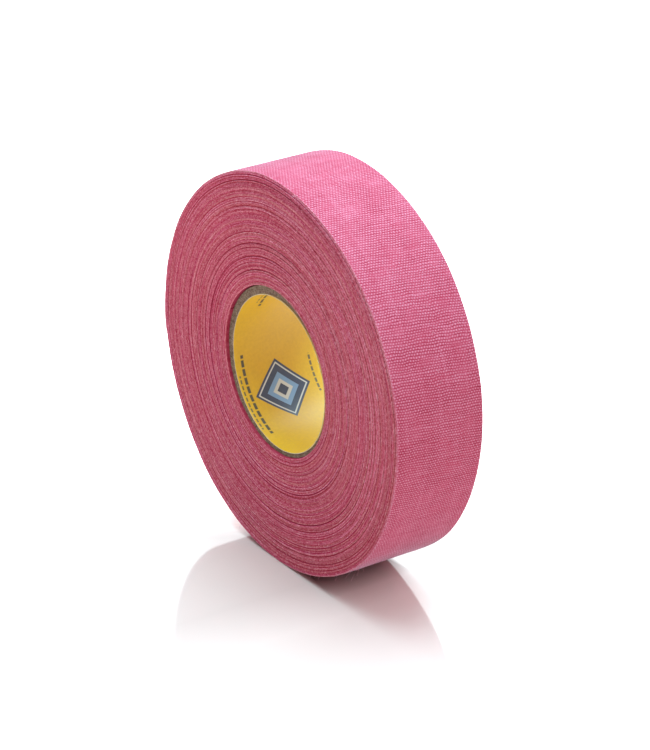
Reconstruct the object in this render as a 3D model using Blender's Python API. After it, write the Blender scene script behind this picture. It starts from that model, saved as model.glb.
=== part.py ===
"""A roll of woven cloth grip tape on a paper-board core, standing on its rim.

The roll's axis lies along Y. The front face looks towards -Y, +Z is up, and the
origin is on the floor below the middle of the roll. Units are metres.

The tape is one long strip, wound outwards from the core. It is made here as a few
stretches of many turns each, then its last whole turn and its loose tail, each of
those with its cloth and its adhesive coat apart. Angles are counter-clockwise from
+X, seen from the front.
"""
import math

import bpy

# The strip: cloth with an adhesive coat on its inner side
CLOTH_THICKNESS = 0.00020
ADHESIVE_THICKNESS = 0.00008
STRIP_THICKNESS = CLOTH_THICKNESS + ADHESIVE_THICKNESS
STRIP_WIDTH = 0.0242
STRIP_START_ANGLE = 152.5
TAIL_SIDES = 7

# The core: a printed paper liner inside four plies of kraft board. It is a little
# shorter than the tape is wide, and sits towards the back, so its front is recessed.
BORE_RADIUS = 0.0196
CORE_OUTER_RADIUS = 0.0213
CORE_LENGTH = 0.0236
CORE_SHIFT = 0.00035
LINER_THICKNESS = 0.00015
PLY_NAMES = ("core_inner_ply", "core_second_ply", "core_third_ply", "core_outer_ply")

# Each stretch of the winding: its name, its last turn, and how far the strip had
# wandered sideways (towards the back) when it was wound
WINDINGS = (
    ("first_windings", 20, 0.00006),
    ("inner_windings", 41, -0.00008),
    ("middle_windings", 62, 0.00010),
    ("outer_windings", 83, -0.00004),
    ("last_windings", 101, -0.00010),
)
OUTER_TURN_WANDER = 0.0

# Every round outline has the same corners, and one side lies flat on the floor
SIDES = 72
GAP = 0.00002
TAIL_ROOT_GAP = 0.00005

# Colours (linear) and roughness
CLOTH_PINK = ((0.55, 0.13, 0.21), 0.85)
CLOTH_EDGE = ((0.40, 0.09, 0.14), 0.90)
ADHESIVE = ((0.62, 0.42, 0.36), 0.55)
BOARD = ((0.32, 0.22, 0.15), 0.90)
LINER_PAPER = ((0.75, 0.42, 0.04), 0.55)


def strip_radius(turns):
    """Radius of the strip's inner side after a number of turns on the core."""
    return CORE_OUTER_RADIUS + turns * STRIP_THICKNESS


def corner_angle(corner):
    """Angle of a corner, counted from the place where the strip starts."""
    return math.radians(STRIP_START_ANGLE + corner * 360 / SIDES)


def polar(radius, angle):
    return radius * math.cos(angle), radius * math.sin(angle)


def circle(radius):
    """Outline with a constant radius."""
    return [polar(radius, corner_angle(corner)) for corner in range(SIDES)]


def turn_outline(turns, lift=0.0):
    """Closed outline of one turn, with a short ramp back down to where it began."""
    return [
        polar(strip_radius(turns + corner / SIDES) + lift, corner_angle(corner))
        for corner in range(SIDES)
    ]


def layer_outline(first_turn, sides, low, high, root_gap=0.0):
    """Outline of a layer of the strip, from low to high above its inner side."""
    corners = [(corner, corner_angle(corner)) for corner in range(sides + 1)]
    radii = [strip_radius(first_turn + corner / SIDES) for corner, angle in corners]
    angles = [angle for corner, angle in corners]
    angles[0] += root_gap / radii[0]
    outer = [polar(radius + high, angle) for radius, angle in zip(radii, angles)]
    inner = [polar(radius + low, angle) for radius, angle in zip(radii, angles)]
    return outer + inner[::-1]


def lowest_outer_radius():
    """Outer radius at the corner that touches the floor."""
    bottom_corner = math.ceil((270 - STRIP_START_ANGLE) / 360 * SIDES)
    return strip_radius(WINDINGS[-1][1] + 1 + bottom_corner / SIDES)


AXIS_HEIGHT = lowest_outer_radius() * math.cos(math.pi / SIDES)
TURNS_BEFORE_OUTER = WINDINGS[-1][1]
HINGE_RADIUS = strip_radius(TURNS_BEFORE_OUTER + 2)


def make_material(name, finish):
    colour, roughness = finish
    material = bpy.data.materials.new(name)
    material.use_nodes = True
    shader = material.node_tree.nodes["Principled BSDF"]
    shader.inputs["Base Color"].default_value = (*colour, 1.0)
    shader.inputs["Roughness"].default_value = roughness
    shader.inputs["Metallic"].default_value = 0.0
    return material


def add_flat_piece(collection, name, outlines, width, shift, finish, parent=None):
    """Extrude closed outlines, drawn in the roll's plane, along the roll's axis.

    shift is how far towards the back the middle of the piece lies.
    """
    curve = bpy.data.curves.new(name, "CURVE")
    curve.dimensions = "2D"
    curve.fill_mode = "BOTH"
    curve.extrude = width / 2
    for outline in outlines:
        spline = curve.splines.new("POLY")
        spline.points.add(len(outline) - 1)
        for point, (x, y) in zip(spline.points, outline):
            point.co = (x, y, 0.0, 1.0)
        spline.use_cyclic_u = True
    curve.materials.append(make_material(name, finish))
    piece = bpy.data.objects.new(name, curve)
    piece.rotation_euler = (math.pi / 2, 0.0, 0.0)
    piece.location = (0.0, shift, AXIS_HEIGHT)
    if parent:
        piece.parent = parent
        piece.location = (-parent.location.x, shift, AXIS_HEIGHT - parent.location.z)
    collection.objects.link(piece)
    return piece


def add_core(collection):
    """The printed liner, then the board plies around it."""
    liner = [circle(BORE_RADIUS + LINER_THICKNESS), circle(BORE_RADIUS)]
    add_flat_piece(collection, "core_liner", liner, CORE_LENGTH, CORE_SHIFT, LINER_PAPER)
    board_start = BORE_RADIUS + LINER_THICKNESS
    ply_pitch = (CORE_OUTER_RADIUS - board_start) / len(PLY_NAMES)
    for index, name in enumerate(PLY_NAMES):
        inner = board_start + index * ply_pitch + GAP
        outer = board_start + (index + 1) * ply_pitch
        ply = [circle(outer), circle(inner)]
        add_flat_piece(collection, name, ply, CORE_LENGTH, CORE_SHIFT, BOARD)


def add_windings(collection):
    """The stretches of many turns; the first one lies on the round core."""
    inner = circle(CORE_OUTER_RADIUS + GAP)
    for name, last_turn, wander in WINDINGS:
        outlines = [turn_outline(last_turn), inner]
        add_flat_piece(collection, name, outlines, STRIP_WIDTH, wander, CLOTH_EDGE)
        inner = turn_outline(last_turn, GAP)


def add_strip_layers(collection, names, first_turn, sides, root_gap, parent):
    """The adhesive coat and the cloth of one stretch of the strip."""
    adhesive_name, cloth_name = names
    adhesive = layer_outline(first_turn, sides, GAP, ADHESIVE_THICKNESS, root_gap)
    cloth = layer_outline(
        first_turn, sides, ADHESIVE_THICKNESS + GAP, STRIP_THICKNESS, root_gap
    )
    for name, outline, finish in (
        (adhesive_name, adhesive, ADHESIVE),
        (cloth_name, cloth, CLOTH_PINK),
    ):
        add_flat_piece(
            collection, name, [outline], STRIP_WIDTH, OUTER_TURN_WANDER, finish, parent
        )


def add_tail_hinge(collection):
    """The line where the loose tail lifts off, on the roll's outer surface."""
    x, z = polar(HINGE_RADIUS, corner_angle(0))
    hinge = bpy.data.objects.new("tail_hinge", None)
    hinge.location = (x, 0.0, AXIS_HEIGHT + z)
    collection.objects.link(hinge)
    return hinge


def build():
    for old in list(bpy.data.objects):
        bpy.data.objects.remove(old)
    collection = bpy.data.collections.new("grip_tape_roll")
    bpy.context.scene.collection.children.link(collection)

    add_core(collection)
    add_windings(collection)
    add_strip_layers(
        collection,
        ("outer_turn_adhesive", "outer_turn_cloth"),
        TURNS_BEFORE_OUTER,
        SIDES,
        0.0,
        None,
    )
    add_strip_layers(
        collection,
        ("tail_adhesive", "tail_cloth"),
        TURNS_BEFORE_OUTER + 1,
        TAIL_SIDES,
        TAIL_ROOT_GAP,
        add_tail_hinge(collection),
    )


build()
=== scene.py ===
"""Looks of a roll of woven cloth grip tape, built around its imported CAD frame.

The roll's axis lies along Y, its front face looks towards -Y, and it stands on its rim.
Every layer is the real strip: it is swept along one spiral, turn after turn, with its
cloth standing a little proud of its adhesive. Lengths in this file are millimetres
until place() and metres() turn them into Blender's units.
"""
import math

import bpy
import numpy as np
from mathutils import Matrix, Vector


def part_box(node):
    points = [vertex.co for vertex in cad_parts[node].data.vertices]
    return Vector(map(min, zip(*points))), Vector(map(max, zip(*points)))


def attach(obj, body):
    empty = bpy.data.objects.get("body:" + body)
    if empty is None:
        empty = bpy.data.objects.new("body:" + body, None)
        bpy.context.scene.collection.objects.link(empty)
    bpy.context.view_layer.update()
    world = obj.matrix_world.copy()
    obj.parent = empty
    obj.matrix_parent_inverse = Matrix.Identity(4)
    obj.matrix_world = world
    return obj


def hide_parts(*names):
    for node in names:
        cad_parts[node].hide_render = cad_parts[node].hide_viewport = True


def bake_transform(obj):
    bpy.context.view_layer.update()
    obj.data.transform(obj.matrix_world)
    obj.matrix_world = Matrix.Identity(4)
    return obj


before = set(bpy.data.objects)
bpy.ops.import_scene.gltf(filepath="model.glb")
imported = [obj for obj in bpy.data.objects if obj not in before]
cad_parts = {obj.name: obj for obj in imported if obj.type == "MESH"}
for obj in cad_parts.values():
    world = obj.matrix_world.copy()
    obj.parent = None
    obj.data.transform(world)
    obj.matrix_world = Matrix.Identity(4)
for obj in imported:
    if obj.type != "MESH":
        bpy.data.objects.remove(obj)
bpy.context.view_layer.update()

# The strip and its winding, as in the CAD
STRIP_THICKNESS = 0.28
STRIP_WIDTH = 24.2
STRIP_START_ANGLE = 152.5
TAIL_DEGREES = 35
STRETCHES = (
    ("first_turns", "first_windings", 0, 20),
    ("inner_turns", "inner_windings", 20, 41),
    ("middle_turns", "middle_windings", 41, 62),
    ("outer_turns", "outer_windings", 62, 83),
    ("last_turns", "last_windings", 83, 101),
)
OUTER_TURN = 101
TAIL_START = OUTER_TURN + 1
TAIL_END = TAIL_START + TAIL_DEGREES / 360

# The strip's section: heights over its inner side, and how far the adhesive is set back
ADHESIVE_TOP = 0.07
CLOTH_TOP = 0.27
ADHESIVE_SETBACK = 0.11

# The weave: pitches of its threads, and how far the cross threads lean
WEFT_PITCH = 0.64
WARP_PITCH = 0.37
WEFT_LEAN = 0.09

# Turns that slipped back a little all the way round
SUNK_TURNS = (6.4, 14.2, 27.3, 33.6, 47.9, 57.4, 70.8, 84.1, 91.6, 96.4)

# The core sits off centre (x and z), its bore less so, and the liner's print steps
# sideways each time it comes round
LINER_THICKNESS = 0.14
CORE_OFF_CENTRE = (-0.60, 0.60)
BORE_OFF_CENTRE = (-0.20, 0.15)
PLY_STEP = 0.06
PRINT_CENTRE_ANGLE = 220
PRINT_SPACING = 104
PRINT_STEP = 3.5

# The camera, and the studio around the roll
CAMERA_AZIMUTH = 55.6
CAMERA_ELEVATION = 24.8
CAMERA_DISTANCE = 764
LENS = 152.1
CAMERA_SHIFT = (0.0097, -0.0150)

# The floor's glossy patch: which way it faces, and where it fades out on three sides
PATCH_HEADING = 55.6
PATCH_FRONT = (54, 275)
PATCH_BACK = (-4, -22)
PATCH_LEFT = (-30, -62)

# The lamp overhead, in metres and watts, and the tent's brightness
LAMP_PLACE = (-0.12, 0.10, 0.95)
LAMP_SIZE = 0.9
LAMP_POWER = 20.0
LAMP_COLOUR = (0.68, 1.07, 1.17)
TENT_HORIZON = 0.36
TENT_ZENITH = 0.85
TENT_TOWARDS_BACK = 0.24
TENT_MIRRORED = 1.75
TENT_SEEN = 1.10


def metres(value):
    return value * 0.001


def node_box(name):
    """A CAD node's lowest and highest corners, in millimetres."""
    low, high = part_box(name)
    return np.array(low) * 1000, np.array(high) * 1000


def node_radius(name):
    low, high = node_box(name)
    return (high[2] - low[2]) / 2


def node_ends(name):
    """Where a node's front and back ends lie along the roll's axis."""
    low, high = node_box(name)
    return low[1], high[1]


AXIS_HEIGHT = sum(corner[2] for corner in node_box("core_liner")) / 2
CORE_RADIUS = node_radius("core_outer_ply")
LINER_RADIUS = node_radius("core_liner")
# CAD outlines have flat sides: their radius is this share of the true circle's
FLATTENING = node_radius("last_windings") / (CORE_RADIUS + 101.5 * STRIP_THICKNESS)


# ---------------------------------------------------------------- seeded unevenness


def smooth_noise(x, spacing, seed):
    """Values between -1 and 1 that change smoothly over the given spacing."""
    table = np.random.RandomState(seed).uniform(-1, 1, 4096)
    cell = np.floor(np.asarray(x) / spacing).astype(int)
    part = np.asarray(x) / spacing - cell
    part = part * part * (3 - 2 * part)
    return table[cell % 4096] * (1 - part) + table[(cell + 1) % 4096] * part


def smooth_noise_2d(x, y, spacing_x, spacing_y, seed):
    """The same over a surface."""
    table = np.random.RandomState(seed).uniform(-1, 1, 4096)
    column = np.floor(x / spacing_x).astype(int)
    row = np.floor(y / spacing_y).astype(int)
    u = x / spacing_x - column
    v = y / spacing_y - row
    u = u * u * (3 - 2 * u)
    v = v * v * (3 - 2 * v)

    def corner(i, j):
        return table[((column + i) * 73 + (row + j) * 179) % 4096]

    low = corner(0, 0) * (1 - u) + corner(1, 0) * u
    high = corner(0, 1) * (1 - u) + corner(1, 1) * u
    return low * (1 - v) + high * v


# ---------------------------------------------------------------- the spiral


def strip_radius(turns):
    """Radius of the strip's inner side after a number of turns."""
    return CORE_RADIUS + turns * STRIP_THICKNESS * FLATTENING


def strip_length(turns):
    """Length of strip wound in a number of turns."""
    pitch = STRIP_THICKNESS * FLATTENING
    return 2 * math.pi * (CORE_RADIUS * turns + pitch * turns**2 / 2)


def strip_angle(turns):
    return np.radians(STRIP_START_ANGLE) + 2 * np.pi * np.asarray(turns)


def place(radius, angle, y):
    """Points in the roll's frame, in metres."""
    x = radius * np.cos(angle)
    z = AXIS_HEIGHT + radius * np.sin(angle)
    return np.stack([x, np.broadcast_to(y, x.shape), z], axis=-1) * 0.001


def lumps(turns, angle):
    """The windings start off centre, and lose their roundness as they grow."""
    down = -math.pi / 2
    off = CORE_OFF_CENTRE[0] * np.cos(angle) + CORE_OFF_CENTRE[1] * np.sin(angle)
    waves = 0.0
    for count, size in ((2, 0.06), (3, 0.06), (5, 0.06), (8, 0.05), (13, 0.025), (21, 0.015)):
        phase = 0.7 * count
        waves = waves + size * (np.cos(count * angle + phase) - math.cos(count * down + phase))
    share = np.minimum(turns / OUTER_TURN, 1.0)
    return waves * share + off * (1 - share)


def side_wander(turns):
    """How far towards the back the strip strayed as it was wound."""
    drift = 0.06 * smooth_noise(turns, 9.0, 11) + 0.05 * smooth_noise(turns, 3.1, 12)
    jitter = 0.07 * smooth_noise(turns, 0.9, 13)
    slack = np.clip(smooth_noise(turns, 0.7, 14) - 0.62, 0, None)
    proud = np.clip(smooth_noise(turns, 0.8, 15) - 0.62, 0, None)
    sunk = sum(np.exp(-(((turns - turn) / 0.55) ** 4)) for turn in SUNK_TURNS)
    shift = drift + jitter + 0.6 * slack - 0.3 * proud + 0.16 * sunk
    return shift * np.clip(OUTER_TURN - turns, 0, 1)


def sunk_below_neighbours(turns):
    """How far a turn lies behind the turns on both sides of it."""
    return side_wander(turns) - (side_wander(turns - 1) + side_wander(turns + 1)) / 2


# ---------------------------------------------------------------- meshes


def new_piece(name, points, faces, materials, face_material, attributes):
    """A smooth-shaded mesh object with point attributes for its materials."""
    mesh = bpy.data.meshes.new(name)
    mesh.from_pydata(points.reshape(-1, 3), [], faces)
    for material in materials:
        mesh.materials.append(material)
    mesh.polygons.foreach_set("material_index", np.asarray(face_material, np.int32))
    for key, values in attributes.items():
        layer = mesh.attributes.new(key, "FLOAT", "POINT")
        layer.data.foreach_set("value", np.asarray(values, np.float32).ravel())
    mesh.shade_smooth()
    mesh.set_sharp_from_angle(angle=math.radians(50))
    mesh.validate()
    piece = bpy.data.objects.new(name, mesh)
    bpy.context.scene.collection.objects.link(piece)
    return piece


def swept_faces(steps, corners, closed):
    """Quads of a section swept along: closed joins the last section to the first."""
    step = np.arange(steps if closed else steps - 1)[:, None]
    corner = np.arange(corners)[None, :]
    following = (step + 1) % steps
    beside = (corner + 1) % corners
    quads = np.stack(
        [
            step * corners + corner,
            following * corners + corner,
            following * corners + beside,
            step * corners + beside,
        ],
        axis=-1,
    )
    return quads.reshape(-1, 4).tolist(), len(step)


def end_caps(steps, corners):
    """The faces that close a swept section's two ends."""
    last_ring = (steps - 1) * corners
    return [list(range(corners)), [last_ring + corner for corner in range(corners)][::-1]]


def sweep_strip(name, first, last, steps, section, materials, shape):
    """Sweep the strip's section from one turn to another along the spiral.

    section lists (height, across, material of the face to the next corner), and
    shape gives each corner's added height and side shift.
    """
    turns = np.linspace(first, last, steps)[:, None]
    height = np.array([corner[0] for corner in section])[None, :]
    across = np.array([corner[1] for corner in section])[None, :]
    full = np.ones((steps, len(section)))
    angle = strip_angle(turns) * full
    rise, shift = shape(turns, height, across)
    radius = strip_radius(turns) + (height + rise) * FLATTENING + lumps(turns, angle)
    points = place(radius, angle, across + shift)
    faces, spans = swept_faces(steps, len(section), False)
    face_material = [corner[2] for corner in section] * spans
    faces += end_caps(steps, len(section))
    face_material += [section[0][2]] * 2
    attributes = {
        "along": strip_length(turns) * full,
        "across": across * full,
        "level": turns + (height / STRIP_THICKNESS) * full,
        # sunk: how far a turn lies back, which the cut edge's colour turns into painted shade
        "sunk": -np.sign(across) * sunk_below_neighbours(turns),
    }
    return new_piece(name, points, faces, materials, face_material, attributes)


def turned_ring(name, profile, steps, materials, shape):
    """Turn a closed profile of (radius, y, material) round the roll's axis."""
    angle = np.linspace(0, 2 * np.pi, steps, endpoint=False)[:, None]
    radius = np.array([corner[0] for corner in profile])[None, :]
    y = np.array([corner[1] for corner in profile])[None, :]
    grow, shift = shape(angle, radius, y)
    points = place(radius + grow, angle * np.ones(radius.shape), y + shift)
    faces, spans = swept_faces(steps, len(profile), True)
    face_material = [corner[2] for corner in profile] * spans
    return new_piece(name, points, faces, materials, face_material, {})


def tubes(name, paths, radius, material):
    """One mesh of thin three-sided tubes, each along its own path of points."""
    sides = 3
    points = []
    faces = []
    for path in paths:
        tangent = np.gradient(path, axis=0)
        tangent /= np.linalg.norm(tangent, axis=1)[:, None]
        beside = np.cross(tangent, (0.31, 0.86, 0.40))
        beside /= np.linalg.norm(beside, axis=1)[:, None]
        above = np.cross(tangent, beside)
        start = len(points) * len(path) * sides
        turn = np.arange(sides) * 2 * np.pi / sides
        ring = np.cos(turn)[None, :, None] * beside[:, None]
        ring = ring + np.sin(turn)[None, :, None] * above[:, None]
        points.append(path[:, None] + radius * ring)
        quads, _ = swept_faces(len(path), sides, False)
        for face in quads + end_caps(len(path), sides):
            faces.append([start + corner for corner in face[::-1]])
    return new_piece(name, np.array(points), faces, [material], [0] * len(faces), {})


# ---------------------------------------------------------------- materials


class Graph:
    """A node tree, with short calls for the nodes it is made of."""

    def __init__(self, tree):
        self.nodes = tree.nodes
        self.links = tree.links

    def feed(self, socket, value):
        if isinstance(value, bpy.types.NodeSocket):
            self.links.new(value, socket)
        elif isinstance(value, tuple) and len(value) == 3 and socket.type == "RGBA":
            socket.default_value = (*value, 1.0)
        else:
            socket.default_value = value

    def attribute(self, name):
        node = self.nodes.new("ShaderNodeAttribute")
        node.attribute_name = name
        return node.outputs["Fac"]

    def math(self, operation, *values):
        node = self.nodes.new("ShaderNodeMath")
        node.operation = operation
        for socket, value in zip(node.inputs, values):
            self.feed(socket, value)
        return node.outputs[0]

    def vector(self, x, y, z=0.0):
        node = self.nodes.new("ShaderNodeCombineXYZ")
        for socket, value in zip(node.inputs, (x, y, z)):
            self.feed(socket, value)
        return node.outputs[0]

    def scaled(self, first, second, third=0.0):
        """A vector of two values, each times its own factor, and a number."""
        return self.vector(self.math("MULTIPLY", *first), self.math("MULTIPLY", *second), third)

    def split(self, vector):
        node = self.nodes.new("ShaderNodeSeparateXYZ")
        self.feed(node.inputs[0], vector)
        return node.outputs

    def position(self):
        return self.nodes.new("ShaderNodeTexCoord").outputs["Object"]

    def noise(self, vector, scale, detail=2.0, roughness=0.5):
        node = self.nodes.new("ShaderNodeTexNoise")
        self.feed(node.inputs["Vector"], vector)
        node.inputs["Scale"].default_value = scale
        node.inputs["Detail"].default_value = detail
        node.inputs["Roughness"].default_value = roughness
        return node.outputs["Fac"]

    def cells(self, vector, scale):
        node = self.nodes.new("ShaderNodeTexVoronoi")
        self.feed(node.inputs["Vector"], vector)
        node.inputs["Scale"].default_value = scale
        return node.outputs["Distance"], node.outputs["Color"]

    def spread(self, value, low, high, to_low=0.0, to_high=1.0, smooth=False):
        """Map a value from one range to another, held at the ends."""
        node = self.nodes.new("ShaderNodeMapRange")
        if smooth:
            node.interpolation_type = "SMOOTHSTEP"
        for socket, number in zip(node.inputs, (value, low, high, to_low, to_high)):
            self.feed(socket, number)
        return node.outputs["Result"]

    def total(self, start, *parts):
        """start plus each value times its weight."""
        total = start
        for value, weight in parts:
            total = self.math("MULTIPLY_ADD", value, weight, total)
        return total

    def mix(self, share, first, second):
        node = self.nodes.new("ShaderNodeMix")
        node.data_type = "RGBA"
        self.feed(node.inputs[0], share)
        self.feed(node.inputs[6], first)
        self.feed(node.inputs[7], second)
        return node.outputs[2]

    def palette(self, value, *stops):
        """Colours at evenly spaced stops from 0 to 1."""
        node = self.nodes.new("ShaderNodeValToRGB")
        elements = node.color_ramp.elements
        while len(elements) < len(stops):
            elements.new(0.5)
        for index, colour in enumerate(stops):
            elements[index].position = index / (len(stops) - 1)
            elements[index].color = (*colour, 1.0)
        self.feed(node.inputs[0], value)
        return node.outputs["Color"]


class Finish(Graph):
    """A material with one Principled shader."""

    def __init__(self, name, roughness, **constants):
        self.material = bpy.data.materials.new(name)
        self.material.use_nodes = True
        super().__init__(self.material.node_tree)
        self.shader = self.nodes["Principled BSDF"]
        self.shader.inputs["Roughness"].default_value = roughness
        for key, value in constants.items():
            self.shader.inputs[key.replace("_", " ")].default_value = value

    def colour(self, value):
        self.feed(self.shader.inputs["Base Color"], value)

    def rough(self, value):
        self.feed(self.shader.inputs["Roughness"], value)

    def bump(self, height, distance_mm):
        node = self.nodes.new("ShaderNodeBump")
        node.inputs["Strength"].default_value = 1.0
        node.inputs["Distance"].default_value = metres(distance_mm)
        self.feed(node.inputs["Height"], height)
        self.feed(self.shader.inputs["Normal"], node.outputs["Normal"])


def cloth_material():
    """Pink plain weave: thread crowns painted lighter, a painted highlight, and the small deep
    hollows between them painted darker, a painted shade.
    """
    g = Finish(
        "pink_cloth",
        0.9,
        Sheen_Weight=0.50,
        Sheen_Roughness=0.24,
        Sheen_Tint=(0.70, 0.84, 1.0, 1.0),
        Specular_IOR_Level=0.1,
    )
    along = g.attribute("along")
    across = g.attribute("across")
    sway = g.noise(g.scaled((along, 0.2), (across, 0.2)), 1.0)
    crowd = g.noise(g.scaled((along, 0.7), (across, 0.25)), 1.0)
    leaning = g.total(along, (across, WEFT_LEAN), (sway, 0.8), (crowd, 0.5))
    weft = g.math("DIVIDE", leaning, WEFT_PITCH)
    tug = g.noise(g.vector(g.math("MULTIPLY", along, 0.6), across, 5.0), 0.9)
    warp = g.math("DIVIDE", g.total(across, (sway, 0.6), (tug, 0.35)), WARP_PITCH)

    # over runs from -1, a cross thread on top, to 1, a lengthwise thread on top
    weft_wave = g.math("SINE", g.math("MULTIPLY", weft, math.pi))
    warp_wave = g.math("SINE", g.math("MULTIPLY", warp, math.pi))
    over = g.math("MULTIPLY", weft_wave, warp_wave)
    weft_round = g.math("POWER", g.math("ABSOLUTE", weft_wave), 0.6)
    warp_round = g.math("POWER", g.math("ABSOLUTE", warp_wave), 0.6)
    weft_top = g.math("MULTIPLY", weft_round, g.math("MULTIPLY_ADD", over, -0.5, 0.6))
    warp_top = g.math("MULTIPLY", warp_round, g.math("MULTIPLY_ADD", over, 0.45, 0.35))
    height = g.math("MAXIMUM", weft_top, warp_top)
    closed = g.math("MULTIPLY", weft_round, warp_round)
    pit = g.spread(closed, 0.10, 0.60, 1.0, 0.0, smooth=True)

    # each thread has its own tone along its length, and the cloth has worn patches
    weft_row = g.vector(g.math("FLOOR", weft), g.math("MULTIPLY", across, 0.12))
    warp_row = g.vector(g.math("MULTIPLY", along, 0.05), g.math("FLOOR", warp), 7.0)
    weft_tone = g.noise(weft_row, 0.9)
    warp_tone = g.noise(warp_row, 0.9)
    patches = g.noise(g.scaled((along, 0.14), (across, 0.14)), 1.0, 3.0)
    plain = g.noise(g.scaled((along, 0.3), (across, 0.2), 9.0), 1.0, 2.0)
    depth = g.spread(plain, 0.3, 0.6, 0.45, 1.0)
    fuzz = g.noise(g.position(), 5200.0, 2.0)
    edge = g.spread(g.math("ABSOLUTE", across), STRIP_WIDTH / 2 - 0.40, STRIP_WIDTH / 2 - 0.05)
    # the weave's height goes into the colour: the hollows between threads are painted darker, a
    # painted shade, and the crowns lighter, a painted highlight
    painted_relief = g.total(0.0, (height, 0.60), (weft_top, 0.26), (pit, -0.30))
    tone = g.total(
        -0.33,
        (g.math("MULTIPLY", painted_relief, depth), 1.0),
        (g.math("SUBTRACT", 1.0, depth), 0.42),
        (weft_tone, 0.34),
        (warp_tone, 0.28),
        (patches, 0.22),
        (fuzz, 0.36),
        (edge, 0.20),
    )
    g.colour(
        g.palette(
            tone,
            (0.195, 0.009, 0.026),
            (0.305, 0.025, 0.054),
            (0.398, 0.050, 0.092),
            (0.495, 0.100, 0.162),
            (0.590, 0.212, 0.300),
        )
    )
    g.bump(g.total(height, (weft_tone, 0.3), (fuzz, 0.25)), 0.03)
    return g.material


def cut_edge_material():
    """The strip's cut sides: thread ends in a row, turns of uneven tone, and turns lying back
    painted darker, a painted shade.
    """
    g = Finish("cut_cloth_edge", 0.95, Specular_IOR_Level=0.03)
    along = g.attribute("along")
    level = g.attribute("level")
    turn = g.math("FLOOR", level)
    turn_tone = g.noise(g.scaled((turn, 1.7), (along, 0.012)), 1.0, 1.0)
    fine_tone = g.noise(g.scaled((level, 2.3), (along, 0.05)), 1.0, 1.0)
    band_tone = g.noise(g.vector(g.math("MULTIPLY", level, 0.23), 3.0), 1.0, 2.0)
    distance, cell = g.cells(g.vector(g.math("DIVIDE", along, 0.5), level), 1.0)
    end = g.spread(distance, 0.1, 0.75, 1.0, 0.0)
    fluff = g.noise(g.position(), 2600.0, 2.0)
    worn = g.noise(g.scaled((along, 0.35), (level, 0.9)), 1.0)
    outermost = g.spread(level, OUTER_TURN, OUTER_TURN + 0.2)
    tone = g.total(
        -1.15,
        # turns lying back behind their neighbours are painted darker, a painted shade, and
        # turns standing out a little lighter, a painted highlight
        (g.math("MAXIMUM", g.attribute("sunk"), -0.04), -2.2),
        (turn_tone, 0.62),
        (fine_tone, 0.50),
        (band_tone, 0.25),
        (worn, 0.40),
        (cell, 0.55),
        (end, 0.25),
        (fluff, 0.62),
        (outermost, 0.22),
    )
    rosy = g.palette(
        tone,
        (0.360, 0.027, 0.065),
        (0.485, 0.070, 0.127),
        (0.580, 0.127, 0.201),
        (0.665, 0.213, 0.305),
        (0.775, 0.365, 0.462),
    )
    brown = g.palette(
        tone,
        (0.337, 0.033, 0.050),
        (0.450, 0.083, 0.107),
        (0.540, 0.146, 0.171),
        (0.630, 0.227, 0.256),
        (0.738, 0.366, 0.406),
    )
    stained = g.noise(g.scaled((level, 0.30), (along, 0.008), 5.0), 1.0, 3.0)
    near_rim = g.spread(level, OUTER_TURN - 5, OUTER_TURN, 0.0, 0.06)
    stained = g.math("SUBTRACT", stained, near_rim)
    g.colour(g.mix(g.spread(stained, 0.38, 0.60), rosy, brown))
    g.bump(g.total(end, (fluff, 0.7)), 0.04)
    return g.material


def adhesive_material(name, dark, pale, gloss=0.5):
    """A tacky coat that took the cloth's ribs."""
    g = Finish(name, 0.5, Specular_IOR_Level=gloss)
    along = g.attribute("along")
    across = g.attribute("across")
    spot = g.noise(g.vector(along, across), 0.8, 4.0)
    rib = g.math("SINE", g.math("MULTIPLY", along, 2 * math.pi / WEFT_PITCH))
    g.colour(g.mix(g.spread(spot, 0.35, 0.65), dark, pale))
    g.rough(g.spread(spot, 0.3, 0.7, 0.35, 0.65))
    g.bump(g.total(spot, (rib, 0.2)), 0.03)
    return g.material


def board_material():
    """Grey-brown kraft board: pressed fibres and specks."""
    g = Finish("kraft_board", 0.92, Specular_IOR_Level=0.2)
    fibre = g.noise(g.position(), 1300.0, 5.0, 0.7)
    specks = g.noise(g.position(), 3600.0, 2.0, 0.6)
    tone = g.total(-0.75, (fibre, 1.5), (specks, 1.0))
    g.colour(
        g.palette(
            tone,
            (0.050, 0.027, 0.016),
            (0.140, 0.086, 0.056),
            (0.245, 0.165, 0.112),
            (0.420, 0.330, 0.250),
        )
    )
    g.bump(g.math("ADD", fibre, specks), 0.15)
    return g.material


def paper_edge_material():
    g = Finish("paper_cut_edge", 0.85)
    fibre = g.noise(g.position(), 3000.0, 3.0)
    g.colour(g.palette(fibre, (0.20, 0.15, 0.09), (0.50, 0.43, 0.32), (0.78, 0.74, 0.66)))
    g.bump(fibre, 0.02)
    return g.material


def fibre_material():
    g = Finish("loose_fibre", 0.7, Sheen_Weight=0.3)
    tone = g.noise(g.position(), 900.0, 1.0)
    g.colour(g.palette(tone, (0.50, 0.12, 0.19), (0.68, 0.30, 0.38), (0.80, 0.55, 0.60)))
    return g.material


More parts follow.
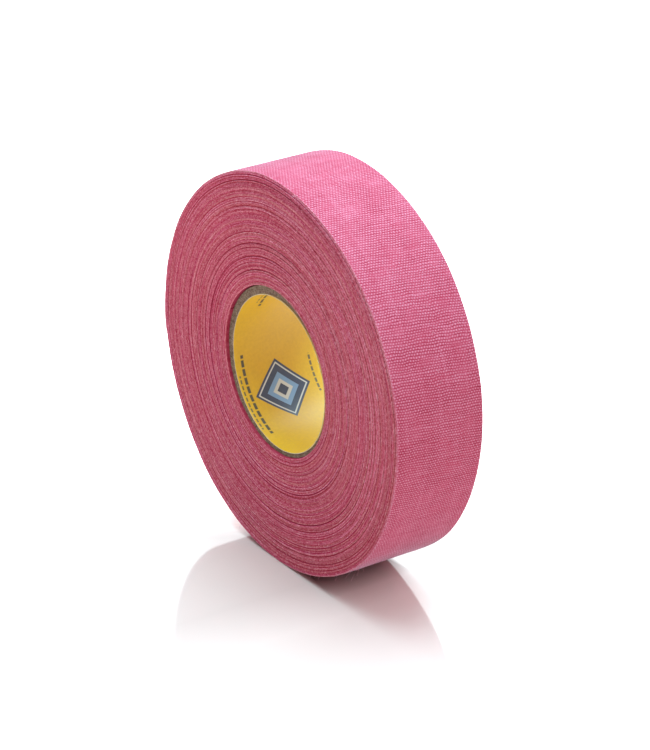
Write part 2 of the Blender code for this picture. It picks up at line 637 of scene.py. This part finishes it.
def printed_paper_material():
    """Yellow liner paper with a generic printed pattern."""
    g = Finish("printed_liner", 0.45, Specular_IOR_Level=0.5)
    x, y, z = g.split(g.position())
    y = g.math("MULTIPLY", y, 1000.0)
    # measured from the +X side, where the paper's two edges meet
    up = g.math("SUBTRACT", metres(AXIS_HEIGHT), z)
    angle = g.math("ADD", g.math("ARCTAN2", up, g.math("MULTIPLY", x, -1.0)), math.pi)
    around = g.math("SUBTRACT", angle, math.radians(PRINT_CENTRE_ANGLE))
    count = g.math("ROUND", g.math("DIVIDE", around, math.radians(PRINT_SPACING)))
    around = g.math("MULTIPLY_ADD", count, -math.radians(PRINT_SPACING), around)
    across = g.math("MULTIPLY", around, LINER_RADIUS)
    y = g.math("MULTIPLY_ADD", count, PRINT_STEP, y)

    def inside(distance):
        """1 inside a shape, where its distance is below zero."""
        return g.spread(distance, -0.05, 0.05, 1.0, 0.0)

    def box(centre_x, centre_y, half_x, half_y):
        off_x = g.math("ABSOLUTE", g.math("SUBTRACT", across, centre_x))
        off_y = g.math("ABSOLUTE", g.math("SUBTRACT", y, centre_y))
        off_x = g.math("SUBTRACT", off_x, half_x)
        off_y = g.math("SUBTRACT", off_y, half_y)
        return inside(g.math("MAXIMUM", off_x, off_y))

    def broken(pitch, share):
        """A row of dashes."""
        dash = g.math("ABSOLUTE", g.math("WRAP", across, pitch / 2, -pitch / 2))
        return inside(g.math("SUBTRACT", dash, pitch * share / 2))

    grain = g.noise(g.position(), 1500.0, 3.0)
    colour = g.mix(g.spread(grain, 0.3, 0.7), (0.64, 0.36, 0.014), (0.70, 0.41, 0.020))
    diamond = g.math("ADD", g.math("ABSOLUTE", across), g.math("ABSOLUTE", y))
    navy = (0.035, 0.045, 0.085)
    pale = (0.60, 0.60, 0.58)
    pale_blue = (0.20, 0.34, 0.56)
    diamonds = (
        (8.0, navy),
        (7.2, pale),
        (6.7, navy),
        (4.6, pale_blue),
        (2.9, pale),
        (1.7, navy),
    )
    for size, ink in diamonds:
        colour = g.mix(inside(g.math("SUBTRACT", diamond, size)), colour, ink)
    # rows of dashes: centre and half size across the paper and along it, pitch, share, ink
    rows = (
        (0.0, -9.2, 11.0, 0.40, 2.2, 0.80, (0.07, 0.055, 0.03)),
        (1.5, -10.6, 7.5, 0.22, 1.5, 0.70, (0.16, 0.12, 0.05)),
        (-2.0, 9.8, 5.0, 0.30, 1.5, 0.75, (0.12, 0.09, 0.04)),
    )
    for centre_x, centre_y, half_x, half_y, pitch, share, ink in rows:
        row = g.math("MULTIPLY", box(centre_x, centre_y, half_x, half_y), broken(pitch, share))
        colour = g.mix(row, colour, ink)
    seam = g.math("MINIMUM", angle, g.math("SUBTRACT", 2 * math.pi, angle))
    colour = g.mix(g.spread(seam, 0.006, 0.012, 1.0, 0.0), colour, (0.40, 0.27, 0.09))
    g.colour(colour)
    g.rough(g.spread(grain, 0.3, 0.7, 0.40, 0.52))
    g.bump(grain, 0.025)
    return g.material


# ---------------------------------------------------------------- the tape


def both_sides(half, closing, across_count=0):
    """Close one side's corners with their mirror image.

    half runs from the strip's inner side to its outer side, closing is the material of
    the inner side, and across_count is the number of corners between the outer edges.
    """
    height, edge, outer = half[-1]
    between = np.linspace(edge, -edge, across_count + 2)[1:-1]
    twins = [
        (corner[0], -corner[1], before[2])
        for corner, before in zip(half[::-1], half[-2::-1] + [(0, 0, closing)])
    ]
    return half + [(height, y, outer) for y in between] + twins


def cloth_section(across_count):
    """The cloth alone: its woven face is material 0, its cut sides material 1."""
    side = STRIP_WIDTH / 2
    half = [
        (ADHESIVE_TOP, side - 0.04, 1),
        (ADHESIVE_TOP + 0.05, side, 1),
        (CLOTH_TOP - 0.05, side, 1),
        (CLOTH_TOP, side - 0.05, 0),
    ]
    return both_sides(half, 0, across_count)


def coat_section():
    """The adhesive coat alone."""
    side = STRIP_WIDTH / 2 - ADHESIVE_SETBACK
    return both_sides([(0.0, side, 0), (ADHESIVE_TOP - 0.005, side, 0)], 0)


def winding_section():
    """Cloth and adhesive together: cloth 0, its cut sides 1, adhesive 2."""
    side = STRIP_WIDTH / 2
    half = [
        (0.0, side - ADHESIVE_SETBACK, 2),
        (ADHESIVE_TOP, side - ADHESIVE_SETBACK, 1),
        (ADHESIVE_TOP + 0.01, side - 0.03, 1),
        (0.13, side, 1),
        (0.21, side, 1),
        (CLOTH_TOP, side - 0.04, 0),
    ]
    return both_sides(half, 2)


def make_windings(cut_edge, adhesive):
    """The stretches of whole turns under the outer one, which show only their edges."""
    section = winding_section()
    steps_a_turn = 240

    def shape(turns, height, across):
        squeeze = 0.03 * np.clip(smooth_noise(turns, 0.8, 21), 0, 1)
        rise = np.where(height > 0.2, -squeeze, 0.0)
        fray = 0.022 * smooth_noise_2d(strip_length(turns), np.sign(across) * 9.0, 0.9, 1.0, 22)
        side = np.sign(across) * fray * (height > ADHESIVE_TOP)
        return rise, side_wander(turns) + side

    for name, node, first, last in STRETCHES:
        steps = (last - first) * steps_a_turn + 1
        materials = [cut_edge, cut_edge, adhesive]
        piece = sweep_strip(name, first, last, steps, section, materials, shape)
        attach(piece, "roll")
        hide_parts(node)


def outer_surface(turns, height, across):
    """Unevenness of the outermost cloth, which only ever lies below its true radius."""
    along = strip_length(turns)
    leaning = along + WEFT_LEAN * across
    outside = np.clip((height - 0.2) / (CLOTH_TOP - 0.2), 0, 1)
    rib = 0.5 - 0.5 * np.cos(2 * np.pi * leaning / WEFT_PITCH)
    thread = np.floor(leaning / WEFT_PITCH)
    slub = np.clip(smooth_noise_2d(thread, across, 1.0, 9.0, 31) - 0.55, 0, 1) / 0.45
    waves = 0.5 + 0.5 * smooth_noise_2d(along, across, 14.0, 11.0, 32)
    side = np.clip((np.abs(across) - STRIP_WIDTH / 2 + 0.9) / 0.9, 0, 1)
    drop = 0.014 * (1 - rib) + 0.02 * (1 - slub) + 0.03 * waves + 0.05 * side**2
    fray = smooth_noise_2d(along, np.sign(across) * 9.0, 0.5 * WEFT_PITCH, 1.0, 33)
    sway = smooth_noise_2d(along, np.sign(across) * 9.0, 8.0, 1.0, 34)
    return -drop * outside, np.sign(across) * (0.025 * fray + 0.035 * sway) * (side > 0.9)


def still(turns, height, across):
    """No unevenness."""
    return 0 * turns * height, 0 * turns * across


def make_strip_end(names, nodes, first, last, steps, coat_steps, looks, bind):
    """A stretch of strip whose cloth and adhesive coat are separate pieces."""
    cloth, cut_edge, adhesive = looks
    piece = sweep_strip(
        names[0], first, last, steps, cloth_section(30), [cloth, cut_edge], outer_surface
    )
    coat = sweep_strip(names[1], first, last, coat_steps, coat_section(), [adhesive], still)
    for made, node, slot in ((piece, nodes[0], "tape_cloth"), (coat, nodes[1], "adhesive")):
        bind(made)
        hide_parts(node)
    return piece, metres(strip_length(last) - strip_length(first))


def make_outer_turn(looks):
    """The last whole turn, which shows its woven side all round the rim.

    Its steps are a fifth of a cross thread long, so that the threads' ribs are real.
    """
    piece, length = make_strip_end(
        ("outer_turn", "outer_turn_coat"),
        ("outer_turn_cloth", "outer_turn_adhesive"),
        first=OUTER_TURN,
        last=TAIL_START,
        steps=2401,
        coat_steps=401,
        looks=looks,
        bind=lambda made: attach(made, "roll"),
    )


def make_tail(looks):
    """The free end: it lies on the outer turn.

    The cloth and its coat have the same steps, so that they would bend alike.
    """
    piece, length = make_strip_end(
        ("tail", "tail_coat"),
        ("tail_cloth", "tail_adhesive"),
        first=TAIL_START,
        last=TAIL_END,
        steps=240,
        coat_steps=240,
        looks=looks,
        bind=lambda made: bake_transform(made),
    )


# ---------------------------------------------------------------- loose fibres


def fibre_path(turns, height, across, lean, length, curl):
    """A curving path from a place on the strip.

    lean is its direction out from the roll, sideways and along the strip.
    """
    angle = float(strip_angle(turns))
    root = place(np.array(strip_radius(turns) + height), np.array(angle), across)
    out = np.array([math.cos(angle), 0.0, math.sin(angle)])
    side = np.array([0.0, 1.0, 0.0])
    ahead = np.array([-math.sin(angle), 0.0, math.cos(angle)])
    direction = lean[0] * out + lean[1] * side + lean[2] * ahead
    direction /= np.linalg.norm(direction)
    bend = curl[0] * out + curl[1] * side + curl[2] * ahead
    part = np.linspace(0, 1, 7)[:, None]
    path = root + metres(length) * (part * direction + part**2 * bend)
    path[:, 2] = np.maximum(path[:, 2], metres(0.04))
    return path


def make_fibres(look):
    """Fluff on the strip's edges, on the woven face, and at the tail's torn end."""
    random = np.random.RandomState(61)
    half = STRIP_WIDTH / 2
    paths = []

    def curl(size):
        return random.uniform(-size, size, 3)

    for _ in range(90):
        side = random.choice((-1, 1))
        out = random.uniform(-0.2, 0.9)
        lean = (out, side * random.uniform(0.2, 1.0), random.uniform(-1, 1))
        turns = random.uniform(OUTER_TURN, TAIL_START)
        length = random.uniform(0.4, 1.3)
        paths.append(fibre_path(turns, 0.2, side * (half - 0.05), lean, length, curl(0.5)))
    # more of it hangs where the front edge meets the floor
    for _ in range(44):
        lean = (random.uniform(-0.2, 0.5), random.uniform(-1.0, 0.2), random.uniform(-1, 1))
        turns = OUTER_TURN + random.uniform(0.32, 0.44)
        length = random.uniform(0.8, 2.6)
        across = -half * random.uniform(0.3, 1.0)
        paths.append(fibre_path(turns, 0.2, across, lean, length, curl(0.6)))
    for _ in range(120):
        lean = (random.uniform(0.1, 0.5), random.uniform(-1, 1), random.uniform(-1, 1))
        turns = random.uniform(OUTER_TURN, TAIL_START)
        length = random.uniform(0.3, 0.8)
        across = random.uniform(-half, half)
        paths.append(fibre_path(turns, 0.2, across, lean, length, curl(0.5)))
    for _ in range(260):
        side = random.choice((-1, 1))
        lean = (random.uniform(-1, 1), side * random.uniform(0.4, 1.0), random.uniform(-1, 1))
        turns = OUTER_TURN * math.sqrt(random.uniform(0.01, 1.0))
        length = random.uniform(0.2, 0.6)
        root = side * (half - 0.05) + float(side_wander(turns))
        paths.append(fibre_path(turns, 0.2, root, lean, length, curl(0.5)))
    fluff = tubes("loose_fibres", paths, metres(0.020), look)
    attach(fluff, "roll")

    ends = []
    for across in np.linspace(-half + 0.1, half - 0.1, 58):
        lean = (random.uniform(-0.05, 0.15), random.uniform(-0.2, 0.2), 1.0)
        length = random.uniform(0.3, 1.1)
        ends.append(fibre_path(TAIL_END, 0.17, across, lean, length, curl(0.15)))
    fringe = tubes("tail_fringe", ends, metres(0.03), look)
    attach(fringe, "tail")


# ---------------------------------------------------------------- the core


def ring_profile(inner, outer, fronts, back, face, end, inside_count):
    """Closed profile of a tube wall: fronts are its front end's y, inside and outside."""
    rounding = min(0.05, (outer - inner) / 4)
    inside_y = np.linspace(fronts[0] + rounding, back - rounding, inside_count)
    inside = [(inner, y, face) for y in inside_y]
    inside[-1] = (inner, back - rounding, end)
    return inside + [
        (inner + rounding, back, end),
        (outer - rounding, back, end),
        (outer, back - rounding, face),
        (outer, fronts[1] + rounding, end),
        (outer - rounding, fronts[1], end),
        (inner + rounding, fronts[0], end),
    ]


def make_core(board, paper, paper_edge):
    """Four plies of board and the printed liner; the plies' front ends are stepped."""
    front, back = node_ends("core_liner")
    middle = (front + back) / 2

    def off_centre(angle, radius):
        share = np.clip((CORE_RADIUS - radius) / (CORE_RADIUS - LINER_RADIUS), 0, 1)
        x, z = (
            outside + (inside - outside) * share
            for outside, inside in zip(CORE_OFF_CENTRE, BORE_OFF_CENTRE)
        )
        return x * np.cos(angle) + z * np.sin(angle)

    def near_end(y, reach):
        """1 at an end of the tube, falling to 0 over a distance inwards."""
        return np.clip((np.abs(y - middle) - (back - middle) + reach) / reach, 0, 1)

    names = ("core_inner_ply", "core_second_ply", "core_third_ply", "core_outer_ply")
    inner = LINER_RADIUS
    for index, node in enumerate(names):
        outer = node_radius(node)
        fronts = (front + (4 - index) * PLY_STEP, front + (3 - index) * PLY_STEP)
        profile = ring_profile(inner + 0.015, outer, fronts, back, 0, 0, 2)

        def cut(angle, radius, y, index=index):
            degrees = np.degrees(angle) + 0 * y
            rough = smooth_noise_2d(degrees, radius + 0 * angle, 2.1, 0.2, 41 + index)
            torn = smooth_noise_2d(degrees, 0 * degrees, 14.0, 1.0, 45)
            inwards = -np.sign(y - middle) * near_end(y, 0.4)
            return off_centre(angle, radius), inwards * (0.12 + 0.06 * rough + 0.06 * torn)

        piece = turned_ring(node.replace("core", "board"), profile, 360, [board], cut)
        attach(piece, "roll")
        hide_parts(node)
        inner = outer

    fronts = (front + 0.02, front + 0.02)
    profile = ring_profile(LINER_RADIUS - LINER_THICKNESS, LINER_RADIUS, fronts, back, 0, 1, 24)

    def paper_shape(angle, radius, y):
        degrees = np.degrees(angle) + 0 * y
        waves = 0.02 * smooth_noise_2d(degrees, y + 0 * angle, 24.0, 6.0, 51)
        nibble = 0.05 + 0.05 * smooth_noise_2d(degrees, 0 * degrees, 3.0, 1.0, 52)
        inwards = -np.sign(y - middle) * near_end(y, 0.3)
        grow = off_centre(angle, radius) + waves * (radius < LINER_RADIUS - 0.05)
        return grow, inwards * nibble

    liner = turned_ring("printed_liner", profile, 360, [paper, paper_edge], paper_shape)
    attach(liner, "roll")
    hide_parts("core_liner")


# ---------------------------------------------------------------- studio


def make_floor():
    """A white floor, with a glossy patch under and before the roll."""
    bpy.ops.mesh.primitive_plane_add(size=6.0, location=(0.0, 0.0, 0.0))
    floor = bpy.context.object
    floor.name = "floor"
    material = bpy.data.materials.new("floor_white")
    material.use_nodes = True
    g = Graph(material.node_tree)
    g.nodes.clear()
    matt = g.nodes.new("ShaderNodeBsdfDiffuse")
    gloss = g.nodes.new("ShaderNodeBsdfGlossy")
    glow = g.nodes.new("ShaderNodeEmission")
    mix = g.nodes.new("ShaderNodeMixShader")
    add = g.nodes.new("ShaderNodeAddShader")
    out = g.nodes.new("ShaderNodeOutputMaterial")
    x, y = (g.math("MULTIPLY", part, 1000.0) for part in list(g.split(g.position()))[:2])
    heading = math.radians(PATCH_HEADING)
    forwards = g.math("MULTIPLY", x, math.sin(heading))
    forwards = g.math("MULTIPLY_ADD", y, -math.cos(heading), forwards)
    before = g.spread(forwards, *PATCH_FRONT, smooth=True)
    behind = g.spread(forwards, *PATCH_BACK, smooth=True)
    leftwards = g.spread(x, *PATCH_LEFT, smooth=True)
    far = g.math("MAXIMUM", g.math("MAXIMUM", before, behind), leftwards)
    # hardly any light reaches the narrow gap under the roll: the floor there is painted nearly
    # black, a painted shadow, and its gloss is turned down; around it, near the roll, the floor
    # is painted darker than further out, a painted shade
    aside = g.math("ABSOLUTE", g.math("SUBTRACT", x, 3.0))
    beyond = g.math("SUBTRACT", g.math("ABSOLUTE", y), STRIP_WIDTH / 2)
    gap = g.math("MAXIMUM", g.spread(aside, 6.0, 21.0), g.spread(beyond, -2.5, -0.2))
    near = g.mix(gap, (0.05, 0.01, 0.01), (0.70, 0.57, 0.53))
    g.feed(matt.inputs["Color"], g.mix(far, near, (1.0, 0.76, 0.71)))
    gloss.inputs["Roughness"].default_value = 0.08
    gloss.inputs["Color"].default_value = (1.0, 1.0, 1.0, 1.0)
    # the floor glows: clean white away from the roll, and faintly beside the rim, painted light
    # that lifts the floor's shade there; to all but the camera the far floor glows less,
    # painted light that it casts onto the roll
    beside = g.math("MULTIPLY", g.math("MULTIPLY", g.spread(x, 14.0, 32.0), gap), 0.17)
    bright = g.math("MAXIMUM", beside, g.math("MULTIPLY", far, 0.9))
    seen = g.nodes.new("ShaderNodeLightPath").outputs["Is Camera Ray"]
    bounce_glow = g.math("MULTIPLY", far, 0.30)
    seen_more = g.math("MULTIPLY", g.math("SUBTRACT", bright, bounce_glow), seen)
    g.feed(glow.inputs["Strength"], g.math("ADD", bounce_glow, seen_more))
    shine = g.spread(gap, 0.0, 1.0, 0.10, 0.25)
    g.feed(mix.inputs["Fac"], g.math("MULTIPLY", g.math("SUBTRACT", 1.0, far), shine))
    g.feed(mix.inputs[1], matt.outputs[0])
    g.feed(mix.inputs[2], gloss.outputs[0])
    g.feed(add.inputs[0], mix.outputs[0])
    g.feed(add.inputs[1], glow.outputs[0])
    g.feed(out.inputs[0], add.outputs[0])
    floor.data.materials.append(material)


def make_lights():
    """A white tent, brightest overhead, and one large cool lamp above."""
    world = bpy.data.worlds.new("studio")
    bpy.context.scene.world = world
    world.use_nodes = True
    g = Graph(world.node_tree)
    _, y, up = g.split(g.nodes.new("ShaderNodeTexCoord").outputs["Generated"])
    light_path = g.nodes.new("ShaderNodeLightPath").outputs
    strength = g.spread(up, -0.1, 0.8, TENT_HORIZON, TENT_ZENITH)
    strength = g.math("MULTIPLY_ADD", y, TENT_TOWARDS_BACK, strength)
    mirrored = g.math("SUBTRACT", TENT_MIRRORED, strength)
    strength = g.math("MULTIPLY_ADD", light_path["Is Glossy Ray"], mirrored, strength)
    seen = light_path["Is Camera Ray"]
    strength = g.math("MULTIPLY_ADD", seen, g.math("SUBTRACT", TENT_SEEN, strength), strength)
    tint = g.mix(g.spread(up, -0.1, 0.8), (1.06, 0.94, 0.93), (0.95, 1.0, 1.05))
    g.feed(g.nodes["Background"].inputs["Color"], g.mix(seen, tint, (1.0, 1.0, 1.0)))
    g.feed(g.nodes["Background"].inputs["Strength"], strength)
    light = bpy.data.lights.new("overhead", "AREA")
    light.shape = "RECTANGLE"
    light.size = LAMP_SIZE
    light.size_y = LAMP_SIZE
    light.energy = LAMP_POWER
    light.color = LAMP_COLOUR
    lamp = bpy.data.objects.new("overhead", light)
    lamp.location = LAMP_PLACE
    lamp.rotation_mode = "QUATERNION"
    lamp.rotation_quaternion = lamp.location.to_track_quat("Z", "Y")
    bpy.context.scene.collection.objects.link(lamp)


def make_camera():
    azimuth = math.radians(CAMERA_AZIMUTH)
    elevation = math.radians(CAMERA_ELEVATION)
    back = Vector(
        (
            math.sin(azimuth) * math.cos(elevation),
            -math.cos(azimuth) * math.cos(elevation),
            math.sin(elevation),
        )
    )
    data = bpy.data.cameras.new("camera")
    data.lens = LENS
    data.sensor_width = 36.0
    data.shift_x, data.shift_y = CAMERA_SHIFT
    data.clip_start = 0.01
    data.clip_end = 20.0
    camera = bpy.data.objects.new("camera", data)
    camera.location = Vector((0.0, 0.0, metres(AXIS_HEIGHT))) + back * metres(CAMERA_DISTANCE)
    camera.rotation_mode = "QUATERNION"
    camera.rotation_quaternion = (-back).to_track_quat("-Z", "Y")
    bpy.context.scene.collection.objects.link(camera)
    bpy.context.scene.camera = camera


make_camera()
make_lights()
make_floor()
bpy.context.scene.view_settings.view_transform = "Standard"

cloth_look = cloth_material()
edge_look = cut_edge_material()
# the adhesive between the wound turns is a darker, redder copy of the adhesive coat: partly the
# cloth's dye showing through it, partly painted shade of the grooves between turns with the red
# of light bounced inside them
shaded_adhesive_look = adhesive_material(
    "wound_adhesive_painted_shade", (0.34, 0.030, 0.060), (0.46, 0.060, 0.105), gloss=0.03
)
coat_look = adhesive_material("adhesive_coat", (0.52, 0.22, 0.23), (0.66, 0.38, 0.35))
make_core(board_material(), printed_paper_material(), paper_edge_material())
make_windings(edge_look, shaded_adhesive_look)
make_outer_turn((cloth_look, edge_look, coat_look))
make_tail((cloth_look, edge_look, coat_look))
make_fibres(fibre_material())
